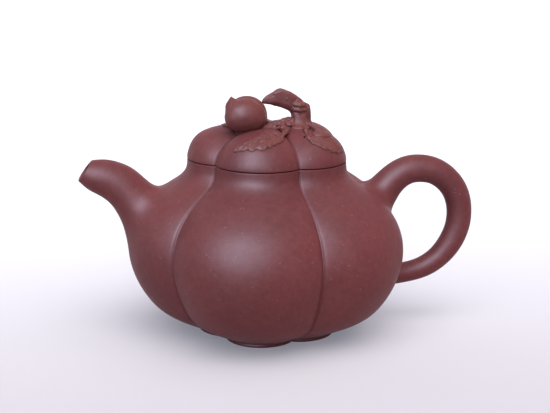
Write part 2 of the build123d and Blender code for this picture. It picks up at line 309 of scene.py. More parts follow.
# --- materials -----------------------------------------------------------------
def clay(name, base, light, dark, rough=0.50, grain=1.0, streak=0.0, speck=1.0):
    m = bpy.data.materials.new(name)
    m.use_nodes = True
    nt = m.node_tree
    nt.nodes.clear()
    N = lambda t: nt.nodes.new(t)
    L = nt.links.new
    out, b = N("ShaderNodeOutputMaterial"), N("ShaderNodeBsdfPrincipled")
    L(b.outputs[0], out.inputs[0])
    tc = N("ShaderNodeTexCoord")
    co = tc.outputs["Object"]

    def noise(scale, detail=4.0, roughness=0.55, src=co):
        n = N("ShaderNodeTexNoise")
        n.inputs["Scale"].default_value = scale
        n.inputs["Detail"].default_value = detail
        n.inputs["Roughness"].default_value = roughness
        L(src, n.inputs["Vector"])
        return n.outputs["Fac"]

    def ramp(src, *stops):
        r = N("ShaderNodeValToRGB")
        while len(r.color_ramp.elements) < len(stops):
            r.color_ramp.elements.new(0.5)
        for e, (p, c) in zip(r.color_ramp.elements, stops):
            e.position = p
            e.color = (c, c, c, 1) if isinstance(c, (int, float)) else (*c, 1)
        L(src, r.inputs[0])
        return r.outputs[0]

    def mix(fac, a, c, mode="MIX"):
        x = N("ShaderNodeMix")
        x.data_type = "RGBA"
        x.blend_type = mode
        for s, v in ((x.inputs[0], fac), (x.inputs[6], a), (x.inputs[7], c)):
            if isinstance(v, (int, float)):
                s.default_value = v
            elif isinstance(v, tuple):
                s.default_value = (*v, 1)
            else:
                L(v, s)
        return x.outputs[2]

    def math_node(op, a, c):
        x = N("ShaderNodeMath")
        x.operation = op
        for s, v in ((x.inputs[0], a), (x.inputs[1], c)):
            if isinstance(v, (int, float)):
                s.default_value = v
            else:
                L(v, s)
        return x.outputs[0]

    # broad kiln and clay tone, hand sized, then a finer mottle
    tone = ramp(noise(22, 3), (0.35, dark), (0.50, base), (0.68, light))
    mottle = ramp(noise(420, 5, 0.72), (0.30, 0.84), (0.70, 1.14))
    col = mix(1.0, tone, mottle, "MULTIPLY")
    # pale sand grains fired into the clay
    v = N("ShaderNodeTexVoronoi")
    v.inputs["Scale"].default_value = 900
    L(co, v.inputs["Vector"])
    dots = ramp(v.outputs["Distance"], (0.08, 1.0), (0.21, 0.0))
    pick = ramp(noise(330, 2), (0.57, 0.0), (0.66, 1.0))
    col = mix(math_node("MULTIPLY", math_node("MULTIPLY", dots, pick), 0.55 * speck), col, (0.38, 0.22, 0.165))
    # darker iron specks
    v2 = N("ShaderNodeTexVoronoi")
    v2.inputs["Scale"].default_value = 1500
    L(co, v2.inputs["Vector"])
    dark_dots = ramp(v2.outputs["Distance"], (0.08, 1.0), (0.22, 0.0))
    pick2 = ramp(noise(500, 2), (0.60, 0.0), (0.68, 1.0))
    col = mix(math_node("MULTIPLY", math_node("MULTIPLY", dark_dots, pick2), 0.45), col, tuple(c * 0.45 for c in base))
    L(col, b.inputs["Base Color"])
    # the burnished skin: polished patches and slightly open ones
    rr = ramp(noise(90, 5, 0.6), (0.30, rough - 0.05), (0.70, rough + 0.06))
    L(rr, b.inputs["Roughness"])
    b.inputs["Specular IOR Level"].default_value = 0.11
    b.inputs["IOR"].default_value = 1.5
    # surface grain
    g1 = N("ShaderNodeBump")
    g1.inputs["Strength"].default_value = 0.30 * grain
    g1.inputs["Distance"].default_value = 0.00012
    L(noise(2600, 3, 0.6), g1.inputs["Height"])
    g2 = N("ShaderNodeBump")
    g2.inputs["Strength"].default_value = 0.22 * grain
    g2.inputs["Distance"].default_value = 0.00030
    L(noise(420, 4, 0.6), g2.inputs["Height"])
    L(g1.outputs[0], g2.inputs["Normal"])
    last = g2
    if streak:
        mp = N("ShaderNodeMapping")
        mp.inputs["Scale"].default_value = (1.0, 1.0, 0.22)
        L(co, mp.inputs["Vector"])
        g3 = N("ShaderNodeBump")
        g3.inputs["Strength"].default_value = streak
        g3.inputs["Distance"].default_value = 0.0006
        L(noise(700, 5, 0.65, mp.outputs[0]), g3.inputs["Height"])
        L(g2.outputs[0], g3.inputs["Normal"])
        last = g3
    L(last.outputs[0], b.inputs["Normal"])
    return m


BASE = (0.133, 0.0315, 0.0325)
POT_CLAY = clay("zisha_clay", BASE, (0.148, 0.0365, 0.037), (0.118, 0.0275, 0.029), rough=0.52)
INNER_CLAY = clay("zisha_clay_inside", (0.150, 0.052, 0.043), (0.170, 0.060, 0.050), (0.128, 0.043, 0.036), rough=0.62, grain=1.6)
KNOB_CLAY = clay("modelled_clay", (0.142, 0.038, 0.035), (0.156, 0.043, 0.040), (0.126, 0.033, 0.031), rough=0.52, grain=1.2)
BARK_CLAY = clay("modelled_clay_bark", (0.156, 0.043, 0.039), (0.182, 0.053, 0.047), (0.122, 0.032, 0.030), rough=0.55, grain=1.6, streak=0.3)
LEAF_CLAY = clay("modelled_clay_leaf", (0.146, 0.041, 0.037), (0.166, 0.049, 0.043), (0.120, 0.033, 0.030), rough=0.54, grain=1.4)


def finish_piece(ob, mat, body, nodes):
    ob.data.materials.append(mat)
    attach(ob, body)
    if nodes:
        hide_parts(*nodes)
    return ob


# --- pot body ------------------------------------------------------------------
def offset_rows(rows, d):
    """Profile rows (R, Rg, z, z) moved inwards by d along the crest's normal."""
    rows = np.asarray(rows, float)
    t = np.gradient(rows[:, [0, 2]], axis=0)
    t = unit(t)
    n = np.stack([t[:, 1], -t[:, 0]], -1)
    out = rows.copy()
    out[:, 0] -= d * n[:, 0]
    out[:, 1] -= 1.06 * d * n[:, 0]
    out[:, 2] -= d * n[:, 1]
    out[:, 3] -= d * n[:, 1]
    return out


to = np.linspace(0, 1, 150)
bo = body_f(to)
outer = np.stack([bo[:, 1], bo[:, 1] * bo[:, 2], bo[:, 0], bo[:, 0]], -1)
inner = offset_rows(outer, WALL)
FLOOR = 4.3
inner = inner[inner[:, 2] > FLOOR + 0.4]
inner[-1, 2:] = RIM
mouth = inner[-1].copy()
first = inner[0].copy()
first[2:] = FLOOR
first[0] -= 0.6
first[1] -= 0.6
rows = [np.array([24.6, 24.6 * .81, 1.3, 1.3])] + list(outer)
rows += list(inner[::-3]) + [first, np.array([24.6, 24.6 * .81, FLOOR, FLOOR])]
k = 1 + len(outer) - 1
rows = rounded(rows, k + 1, 0.45)      # inner lip
rows = rounded(rows, k, 0.40)          # outer lip
rows = rounded(rows, 1, 0.35, 4)
pot_body = lathe("pot_body_shell", rows, closed=True, sharp=42)

# strainer holes behind the spout
holes = []
c = np.array([-50.0, 0, 46.0])
nrm = unit(np.array([-0.86, 0, 0.51]))
side = np.array([0, 1.0, 0])
up = np.cross(nrm, side)
for i in range(7):
    a = math.radians(60 * i)
    o = c + (0 if i == 6 else 5.0) * (side * math.cos(a) + up * math.sin(a))
    q = np.linspace(0, 2 * math.pi, 24, endpoint=False)
    ringp = o + 1.3 * (np.cos(q)[:, None] * side + np.sin(q)[:, None] * up)
    holes.append((ringp - nrm * 9, ringp + nrm * 9))


def cutter(name, pairs):
    V, Q, T = [], [], []
    for lo, hi in pairs:
        n = len(lo)
        b = sum(len(v) for v in V)
        V += [lo, hi, lo.mean(0)[None], hi.mean(0)[None]]
        j = np.arange(n)
        Q.append(np.stack([b + j, b + (j + 1) % n, b + n + (j + 1) % n, b + n + j], -1))
        T.append(np.stack([b + (j + 1) % n, b + j, np.full(n, b + 2 * n)], -1))
        T.append(np.stack([b + n + j, b + n + (j + 1) % n, np.full(n, b + 2 * n + 1)], -1))
    return mesh_object(name, np.concatenate(V), np.concatenate(Q), np.concatenate(T))


def cut(ob, tool, solver="EXACT"):
    m = ob.modifiers.new("cut", "BOOLEAN")
    m.operation = "DIFFERENCE"
    m.solver = solver
    m.object = tool
    dg = bpy.context.evaluated_depsgraph_get()
    me = bpy.data.meshes.new_from_object(ob.evaluated_get(dg))
    ob.modifiers.clear()
    old = ob.data
    ob.data = me
    bpy.data.meshes.remove(old)
    bpy.data.objects.remove(tool)
    me.polygons.foreach_set("use_smooth", np.ones(len(me.polygons), bool))
    me.set_sharp_from_angle(angle=math.radians(42))
    return ob


cut(pot_body, cutter("tool", holes))
finish_piece(pot_body, POT_CLAY, "pot", ["pot_body"])

BR, FR = 24.6, 27.0
rows = [np.array([r, r * .81, z, z]) for r, z in ((BR - 0.9, FLOOR + 0.01), (BR, FLOOR), (BR, 1.3), (BR - 0.9, 1.3))]
base_rows = rounded(rounded(rows, 2, 0.2, 3), 1, 0.2, 3)
base = lathe("base_slab", [np.array([3, 3, FLOOR + 0.01, FLOOR + 0.01]), np.array([14, 13, FLOOR + 0.01, FLOOR + 0.01])] + base_rows + [np.array([14, 13, 1.3, 1.3]), np.array([3, 3, 1.3, 1.3])], closed=False, poles=True, sharp=42)
finish_piece(base, INNER_CLAY, "pot", ["base"])

rows = [np.array([r, r * .81, z, z]) for r, z in ((FR - 0.1, 1.3), (FR + 0.1, 0.7), (FR - 0.15, 0.0), (22.6, 0.0), (22.6, 1.3))]
rows = rounded(rounded(rounded(rounded(rows, 4, 0.3, 4), 3 , 0.45, 4), 2, 0.5, 5), 1, 0.4, 5)
foot = lathe("foot_ring_lobed", rows, closed=True, sharp=50)
finish_piece(foot, POT_CLAY, "pot", ["foot_ring"])


# --- hollow or solid limbs that grow out of the body -----------------------------
def limb(line, s_lo, s_hi, m, roots, reach_back, reach_out, along=90, fillet=16, sink=0.35):
    """Grid of points for a limb.

    line(s, psi) gives the tube's surface, s running from s_lo to s_hi. roots says which ends
    stand on the body. reach_back and reach_out give, for each psi, how far up the tube and
    how far over the body the joint is blended."""
    psi = np.linspace(0, 2 * math.pi, m, endpoint=False)
    S = np.linspace(s_lo, s_hi, 900)
    T = line(S[:, None], psi[None])                       # 900 x m x 3
    F = body_field(T.reshape(-1, 3)).reshape(T.shape[:2])
    L = np.concatenate([np.zeros((1, m)), np.cumsum(np.linalg.norm(np.diff(T, axis=0), axis=2), axis=0)])
    start, end = np.full(m, s_lo), np.full(m, s_hi)
    parts = {}
    for which in roots:
        out_mask = F > 0
        hit = np.zeros(m)
        for j in range(m):
            idx = np.where(out_mask[:, j])[0]
            k = idx[0] if which == 0 else idx[-1]
            k2 = k - 1 if which == 0 else k + 1
            f0, f1 = F[k, j], F[k2, j]
            hit[j] = S[k] + (S[k2] - S[k]) * f0 / (f0 - f1)
        Lh = np.array([np.interp(hit[j], S, L[:, j]) for j in range(m)])
        H = line(hit, psi)
        back = reach_back[which](psi)
        outw = reach_out[which](psi)
        Lb = Lh + back if which == 0 else Lh - back
        sb = np.array([np.interp(Lb[j], L[:, j], S) for j in range(m)])
        P0 = line(sb, psi)
        ds = (1e-3 if which == 0 else -1e-3) * (s_hi - s_lo)
        t0 = unit(line(sb - ds, psi) - P0)               # towards the body
        centre = H.mean(0)
        n = unit(gradient(body_field, H, 0.4))
        d = H - centre
        d = unit(d - (d * n).sum(-1, keepdims=True) * n)
        for _ in range(3):                                # even out directions round the ring
            d = unit(d + 0.5 * (np.roll(d, 1, 0) + np.roll(d, -1, 0)))
        B = settle(body_field, H + d * outw[:, None], 0.0, 8)
        nb = unit(gradient(body_field, B, 0.3))
        tb = unit(d - (d * nb).sum(-1, keepdims=True) * nb)
        gap = np.linalg.norm(H - P0, axis=1)
        gap2 = np.linalg.norm(B - H, axis=1)
        P1 = P0 + t0 * (0.72 * gap)[:, None]
        P2 = B - tb * (0.72 * gap2)[:, None]
        t = np.linspace(0, 1, fillet)[:, None, None]
        curve = (1 - t) ** 3 * P0 + 3 * t * (1 - t) ** 2 * P1 + 3 * t * t * (1 - t) * P2 + t ** 3 * B
        # never under the body's skin
        f = body_field(curve.reshape(-1, 3)).reshape(fillet, m)
        low = np.minimum(f, 0)
        g = unit(gradient(body_field, curve.reshape(-1, 3), 0.3)).reshape(curve.shape)
        curve = curve - g * low[..., None]
        skirt = B - nb * sink
        root_mid = np.stack([settle(body_field, H - d * 0.0, -sink, 4)])
        parts[which] = (curve[1:], skirt[None], root_mid)
        if which == 0:
            start = sb
        else:
            end = sb
    t = np.linspace(0, 1, along)[:, None]
    tube = line(start[None] + (end - start)[None] * t, np.broadcast_to(psi[None], (along, m)))
    grid = tube
    if 0 in parts:
        c, sk, mid = parts[0]
        grid = np.concatenate([sk, c[::-1], grid])
    if 1 in parts:
        c, sk, mid = parts[1]
        grid = np.concatenate([grid, c, sk])
    return grid, psi, start, end


# spout ---------------------------------------------------------------------------
sp = np.array([[*u, *l, w, k] for u, l, w, k in SPOUT])
sp_t = chord((sp[:, 0:2] + sp[:, 2:4]) / 2)
sp_f = spline(sp_t, sp)


def spout_line(s, psi, wall=0.0):
    q = sp_f(s)
    s, psi = np.broadcast_arrays(s, psi)
    q = np.broadcast_to(q, s.shape + (6,))
    U = np.stack([q[..., 0], np.zeros(s.shape), q[..., 1]], -1)
    Lw = np.stack([q[..., 2], np.zeros(s.shape), q[..., 3]], -1)
    c = (U + Lw) / 2
    e = (U - Lw) / 2
    ln = np.linalg.norm(e, axis=-1, keepdims=True)
    w = q[..., 5:6] * wall
    return c + e / ln * (ln - w) * np.cos(psi)[..., None] + np.array([0, 1.0, 0]) * (q[..., 4:5] - w) * np.sin(psi)[..., None]


top = lambda p: 0.5 + 0.5 * np.cos(p)          # 1 on top, 0 underneath
sidew = lambda p: np.abs(np.sin(p))
grid, psi, s0, s1 = limb(
    spout_line, 0.0, 1.0, 112, roots=(1,),
    reach_back={1: lambda p: 4.2 + 0.6 * top(p) + 3.0 * sidew(p)},
    reach_out={1: lambda p: 3.8 + 0.2 * top(p) + 5.4 * sidew(p) ** 1.5},
    along=80, fillet=22)
# mouth: round the lip and run back inside
m = len(psi)
lip_c = spout_line(np.full(m, 0.0), psi)
lip_in = spout_line(np.full(m, 0.0), psi, 1.0)
mid_lip = (lip_c + lip_in) / 2
out_dir = unit(np.array([-0.804, 0, 0.595]))
q = sp_f(np.array([0.0]))[0]
w0 = q[5] / 2
lip = []
for a in np.linspace(math.radians(8), math.radians(172), 9):
    flat = np.sign(math.cos(a)) * abs(math.cos(a)) ** 0.75
    lip.append(mid_lip + (lip_c - mid_lip) * flat + out_dir * (abs(math.sin(a)) ** 0.75 - 1.0) * 0.42)
lip = np.array(lip)
inside_s = np.linspace(0.02, 0.80, 46)
chan = spout_line(inside_s[:, None], psi[None], 1.0)
for i, s in enumerate(inside_s):  # the channel stops in the body's wall
    f = body_field(chan[i])
    chan[i] = np.where((f < 0.2)[:, None], settle(body_field, chan[i], 0.2, 4), chan[i])
outer_grid = grid.copy()
first_ring = spout_line(np.full(m, 0.012), psi)
outer_grid[0] = first_ring
full = np.concatenate([outer_grid[::-1], lip, chan])
# close through the joint face under the skin
quads = ring_quads(len(full), m, True, True)
spout = mesh_object("spout_curved", full.reshape(-1, 3), quads[:, ::-1], sharp=60)
finish_piece(spout, POT_CLAY, "pot", ["spout"])

# handle --------------------------------------------------------------------------
h_t = chord(HANDLE[:, :2])
h_f = spline(h_t, HANDLE)


def handle_line(s, psi):
    s, psi = np.broadcast_arrays(s, psi)
    q = h_f(s)
    d = h_f(np.clip(s + 1e-3, 0, 1)) - h_f(np.clip(s - 1e-3, 0, 1))
    t = unit(np.stack([d[..., 0], np.zeros(s.shape), d[..., 1]], -1))
    nn = np.stack([-t[..., 2], np.zeros(s.shape), t[..., 0]], -1)    # up or outwards
    c = np.stack([q[..., 0], np.zeros(s.shape), q[..., 1]], -1)
    r = q[..., 2:3]
    return c + nn * r * np.cos(psi)[..., None] + np.array([0, 1.0, 0]) * r * 1.04 * np.sin(psi)[..., None]


grid, psi, s0, s1 = limb(
    handle_line, 0.0, 1.0, 96, roots=(0, 1),
    reach_back={0: lambda p: 6.8 - 0.6 * top(p), 1: lambda p: 1.6 + 0.0 * p},
    reach_out={0: lambda p: 5.4 - 0.4 * top(p) + 0.8 * sidew(p), 1: lambda p: 1.5 + 0.0 * p},
    along=150, fillet=20)
m = len(psi)
n = len(grid)
V = grid.reshape(-1, 3)
ends = np.stack([grid[0].mean(0), grid[-1].mean(0)])
ends = settle(body_field, ends, -1.5, 4)
V = np.concatenate([V, ends])
j = np.arange(m)
tris = np.concatenate([np.stack([(j + 1) % m, j, np.full(m, len(V) - 2)], -1),
                       np.stack([(n - 1) * m + j, (n - 1) * m + (j + 1) % m, np.full(m, len(V) - 1)], -1)])
handle = mesh_object("handle_loop", V, ring_quads(n, m), tris, sharp=60)
finish_piece(handle, POT_CLAY, "pot", ["handle"])

# --- lid --------------------------------------------------------------------------
ts = np.concatenate([np.linspace(0, 0.5, 60), np.linspace(0.5, 0.985, 60)[1:]])
lc, lg = lid_c(ts), lid_g(ts)
out_rows = [np.array([a[0], b[0], a[1], b[1]]) for a, b in zip(lc, lg)]
FL_R, FL_K = 27.26, 0.834
HO_R, HO_K = 25.06, 0.815
hollow = [(HO_R, HO_R * HO_K, RIM), (HO_R, HO_R * HO_K, 70.5), (24.4, 19.8, 71.9), (23.2, 18.2, 73.2), (21.2, 15.9, 74.5),
          (18.0, 12.6, 75.6), (12.0, 8.0, 76.4), (5.0, 4.0, 76.7), (0.8, 0.8, 76.75)]
in_rows = [np.array([a, b, z, z]) for a, b, z in hollow]
# the lid rests on the rim's inner part, so a fine dark line shows all round the outside
SLOT, SLOT_DEPTH = 0.32, 1.5
r0, g0 = out_rows[0][0], out_rows[0][1]
step = [np.array([r0 - SLOT_DEPTH, g0 - SLOT_DEPTH, RIM, RIM]), np.array([r0 - SLOT_DEPTH + 0.05, g0 - SLOT_DEPTH + 0.05, RIM + SLOT, RIM + SLOT]),
        np.array([r0, g0, RIM + SLOT, RIM + SLOT])]
rows = in_rows[::-1] + step + [r for r in out_rows if r[2] > RIM + SLOT + 0.35]
kk = len(in_rows) + 2
rows = rounded(rows, kk, 0.28, 6)
rows = rounded(rows, len(in_rows) - 1, 0.3, 4)
lid = lathe("lid_dome_ribbed", rows, closed=False, poles=True, sharp=42)
q = np.linspace(0, 2 * math.pi, 28, endpoint=False)
VENT = np.array([11.15, -17.2])
VENT_RX, VENT_RY = 0.30, 0.85


def vent_tool(grow=1.0):
    lo = np.stack([VENT[0] + grow * VENT_RX * np.cos(q), VENT[1] + 1.9 + grow * VENT_RY * np.sin(q), np.full(28, 72.0)], -1)
    return lo, lo + np.array([0, -4.1, 12.0])


lo, hi = vent_tool()
cut(lid, cutter("tool", [(lo, hi)]))
finish_piece(lid, POT_CLAY, "lid", ["lid_dome"])
# the air hole's wall is painted near-black: painted shade standing in for the dark inside of the hole
VENT_PAINTED_SHADE = clay("air_hole_painted_shade", (0.020, 0.008, 0.008), (0.024, 0.010, 0.010), (0.015, 0.006, 0.006), rough=0.85, speck=0.0)
lid.data.materials.append(VENT_PAINTED_SHADE)
# the polygons of the hole's wall take the painted shade
axis = unit((hi - lo)[0])
for poly in lid.data.polygons:
    pc = np.array(poly.center) / MM
    pa = lo.mean(0) + (hi - lo)[0] * (pc[2] - 72.0) / 12.0
    inside = ((pc[0] - pa[0]) / VENT_RX) ** 2 + ((pc[1] - pa[1]) / VENT_RY) ** 2
    if inside < 1.1 and abs(np.array(poly.normal) @ axis) < 0.5:
        poly.material_index = 1

rows = [np.array([r, g, z, z]) for r, g, z in (
    (FL_R, FL_R * FL_K, RIM), (FL_R, FL_R * FL_K, RIM - 8), (HO_R, HO_R * HO_K, RIM - 8), (HO_R, HO_R * HO_K, RIM))]
rows = rounded(rounded(rows, 2, 0.7, 6), 1, 0.8, 6)
flange = lathe("lid_inner_ring", rows, closed=True, sharp=50)
finish_piece(flange, INNER_CLAY, "lid", ["lid_flange"])

# --- shapes worked out on a voxel grid, then settled onto the exact surface --------
def smin(a, b, k):
    h = np.clip(0.5 + 0.5 * (b - a) / k, 0, 1)
    return b + (a - b) * h - k * h * (1 - h)


def cone(X, a, b, ra, rb):
    a, b = np.asarray(a, float), np.asarray(b, float)
    ab = b - a
    t = np.clip(((X - a) @ ab) / (ab @ ab), 0, 1)
    return np.linalg.norm(X - a - t[..., None] * ab, axis=-1) - (ra + (rb - ra) * t)


def ball(X, c, r):
    return np.linalg.norm(X - np.asarray(c, float), axis=-1) - r


def blob(X, c, r, axes=None):
    """Ellipsoid with half sizes r along the rows of axes."""
    d = X - np.asarray(c, float)
    if axes is not None:
        d = d @ np.asarray(axes, float).T
    q = d / np.asarray(r, float)
    n = np.linalg.norm(q, axis=-1)
    return n * (n - 1) / np.maximum(np.linalg.norm(q / np.asarray(r, float), axis=-1), 1e-6)


def surface_net(field, lo, hi, step, steps=4, level=0.0):
    """Closed mesh of the field's zero surface."""
    ax = [np.arange(l, h + step, step) for l, h in zip(lo, hi)]
    G = np.stack(np.meshgrid(*ax, indexing="ij"), -1)
    F = np.empty(G.shape[:3])
    for i in range(G.shape[0]):
        F[i] = field(G[i])
    for axis in range(3):                             # nothing is left open at the grid's sides
        for end in (0, -1):
            side_ = [slice(None)] * 3
            side_[axis] = end
            F[tuple(side_)] = np.maximum(F[tuple(side_)], 0.3 * step)
    neg = F < 0
    c = neg.astype(np.int8)
    s = sum(c[i:c.shape[0] - 1 + i, j:c.shape[1] - 1 + j, k:c.shape[2] - 1 + k] for i in (0, 1) for j in (0, 1) for k in (0, 1))
    act = (s > 0) & (s < 8)
    idx = -np.ones(act.shape, int)
    idx[act] = np.arange(act.sum())
    cells = np.argwhere(act)
    acc = np.zeros((len(cells), 3))
    cnt = np.zeros(len(cells))
    corners = [(i, j, k) for i in (0, 1) for j in (0, 1) for k in (0, 1)]
    for a in corners:
        for axis in range(3):
            if a[axis] == 0:
                b = list(a)
                b[axis] = 1
                fa = F[cells[:, 0] + a[0], cells[:, 1] + a[1], cells[:, 2] + a[2]]
                fb = F[cells[:, 0] + b[0], cells[:, 1] + b[1], cells[:, 2] + b[2]]
                x = (fa < 0) != (fb < 0)
                t = fa[x] / (fa[x] - fb[x])
                p = np.tile(np.array(a, float), (x.sum(), 1))
                p[:, axis] = t
                acc[x] += p
                cnt[x] += 1
    V = np.array([a_[0] for a_ in ax]) + (cells + acc / cnt[:, None]) * step
    quads = []
    for axis in range(3):
        u, v = (axis + 1) % 3, (axis + 2) % 3
        sl0 = [slice(None)] * 3
        sl1 = [slice(None)] * 3
        sl0[axis] = slice(0, -1)
        sl1[axis] = slice(1, None)
        a, b = neg[tuple(sl0)], neg[tuple(sl1)]
        e = np.argwhere(a != b)
        e = e[(e[:, u] > 0) & (e[:, v] > 0) & (e[:, u] < neg.shape[u] - 1) & (e[:, v] < neg.shape[v] - 1)]
        inside = a[tuple(e.T)]
        du, dv = np.eye(3, dtype=int)[u], np.eye(3, dtype=int)[v]
        q = np.stack([idx[tuple((e - du - dv).T)], idx[tuple((e - dv).T)], idx[tuple(e.T)], idx[tuple((e - du).T)]], -1)
        q[~inside] = q[~inside][:, ::-1]
        quads.append(q)
    quads = np.concatenate(quads)
    # crumbs that aren't joined to the piece are dropped
    lab = np.arange(len(V))
    while True:
        low = lab.copy()
        np.minimum.at(low, quads.ravel(), np.repeat(lab[quads].min(1), 4))
        low = low[low]
        if (low == lab).all():
            break
        lab = low
    count = np.bincount(lab[quads[:, 0]], minlength=len(V))
    quads = quads[count[lab[quads[:, 0]]] >= 60]
    used = np.unique(quads)
    back = np.zeros(len(V), int)
    back[used] = np.arange(len(used))
    V, quads = V[used], back[quads]
    for _ in range(steps):
        g = gradient(field, V, 0.04)
        n2 = np.maximum((g * g).sum(-1), 0.05)
        d = (field(V) - level) / n2
        V = V - g * np.clip(d, -0.5 * step, 0.5 * step)[:, None]
    return V, quads


LID_SINK = 0.25


def plane_table(fn, x0, x1, y0, y1, step):
    """Values of fn over a flat grid, looked up between the grid's points."""
    nx_, ny_ = int(round((x1 - x0) / step)) + 1, int(round((y1 - y0) / step)) + 1
    T = fn(*np.meshgrid(np.linspace(x0, x1, nx_), np.linspace(y0, y1, ny_), indexing="ij"))

    def look(x, y):
        fx = np.clip((x - x0) / (x1 - x0) * (nx_ - 1), 0, nx_ - 1.001)
        fy = np.clip((y - y0) / (y1 - y0) * (ny_ - 1), 0, ny_ - 1.001)
        i, j = fx.astype(int), fy.astype(int)
        u, v = fx - i, fy - j
        return T[i, j] * (1 - u) * (1 - v) + T[i + 1, j] * u * (1 - v) + T[i, j + 1] * (1 - u) * v + T[i + 1, j + 1] * u * v
    return look


def _tilt(x, y):
    gx = (lid_top(x + 0.3, y) - lid_top(x - 0.3, y)) / 0.6
    gy = (lid_top(x, y + 0.3) - lid_top(x, y - 0.3)) / 0.6
    return 1 / np.sqrt(1 + gx * gx + gy * gy)


lid_tilt = plane_table(_tilt, -34, 34, -34, 34, 0.3)


def lid_field(X):
    """About the distance from the lid's skin."""
    z = lid_top(X[..., 0], X[..., 1])
    return (X[..., 2] - z) * lid_tilt(X[..., 0], X[..., 1])


def near_line(x, y, P):
    """Distance in plan to an open line."""
    d = np.full(np.shape(x), 1e9)
    for (ax_, ay_), (bx, by) in zip(P, P[1:]):
        ux, uy = bx - ax_, by - ay_
        t = np.clip(((x - ax_) * ux + (y - ay_) * uy) / max(ux * ux + uy * uy, 1e-9), 0, 1)
        d = np.minimum(d, np.hypot(x - ax_ - t * ux, y - ay_ - t * uy))
    return d


def in_outline(x, y, P):
    """Distance in plan to a closed outline, positive inside."""
    P = list(P)
    ins = np.zeros(np.shape(x), bool)
    for (ax_, ay_), (bx, by) in zip(P, P[1:] + P[:1]):
        if ay_ != by:
            c = (ay_ > y) != (by > y)
            ins ^= c & (x < (bx - ax_) * (y - ay_) / (by - ay_) + ax_)
    d = near_line(x, y, P + P[:1])
    return np.where(ins, d, -d)


def eased(P, rounds=1):
    """Corners of a closed outline cut softer."""
    P = np.asarray(P, float)
    for _ in range(rounds):
        Q = np.roll(P, -1, 0)
        P = np.stack([0.8 * P + 0.2 * Q, 0.2 * P + 0.8 * Q], 1).reshape(-1, 2)
    return [tuple(q) for q in P]


def smax(a, b, k):
    return -smin(-a, -b, k)


def luted(X, shape, blend, keep):
    """A modelled piece that melts into the lid's skin and stops just under it."""
    floor = lid_field(X) + LID_SINK
    f = smin(shape, floor, blend)
    f = np.maximum(f, -(floor + 0.9))
    return np.maximum(f, shape - keep)


def facets(X, a, b, ra, rb, normals, soft=0.25):
    """A tapered round piece cut flat on some sides; normals are (direction, share of the radius)."""
    a, b = np.asarray(a, float), np.asarray(b, float)
    ab = b - a
    t = np.clip(((X - a) @ ab) / (ab @ ab), 0, 1)
    q = X - a - t[..., None] * ab
    r = ra + (rb - ra) * t
    f = np.linalg.norm(q, axis=-1) - r
    w = ab / np.linalg.norm(ab)
    for n, share in normals:
        n = np.asarray(n, float)
        n = unit(n - (n @ w) * w)
        f = smax(f, q @ n - share * r, soft)
    return f


def rope(X, pts, k=0.5):
    """Rounded chain through (point, radius) stations."""
    f = None
    for (a, ra), (b, rb) in zip(pts, pts[1:]):
        g = cone(X, a, b, ra, rb)
        f = g if f is None else smin(f, g, k)
    return f


# branch: a thick tapering limb pared flat, bent over from the stem ----------------------
LIMB_OUT = [(-3.75, 88.9), (-3.55, 89.6), (-2.5, 90.55), (-1.05, 91.66), (0.7, 92.72), (2.56, 93.62), (3.75, 93.95), (5.22, 93.6), (7.37, 92.69), (9.52, 91.46),
            (11.41, 89.97), (12.9, 88.5), (14.0, 87.4), (14.75, 86.2), (15.05, 84.15), (14.9, 82.2), (8.25, 82.2), (8.12, 83.71), (7.71, 84.39), (7.17, 85.2),
            (6.09, 86.02), (4.47, 86.58), (2.87, 87.01), (0.72, 87.57), (-1.9, 87.75), (-3.3, 88.1)]
limb_side = plane_table(lambda x, z: -in_outline(x, z, eased(LIMB_OUT)), -8, 20, 76, 98, 0.1)


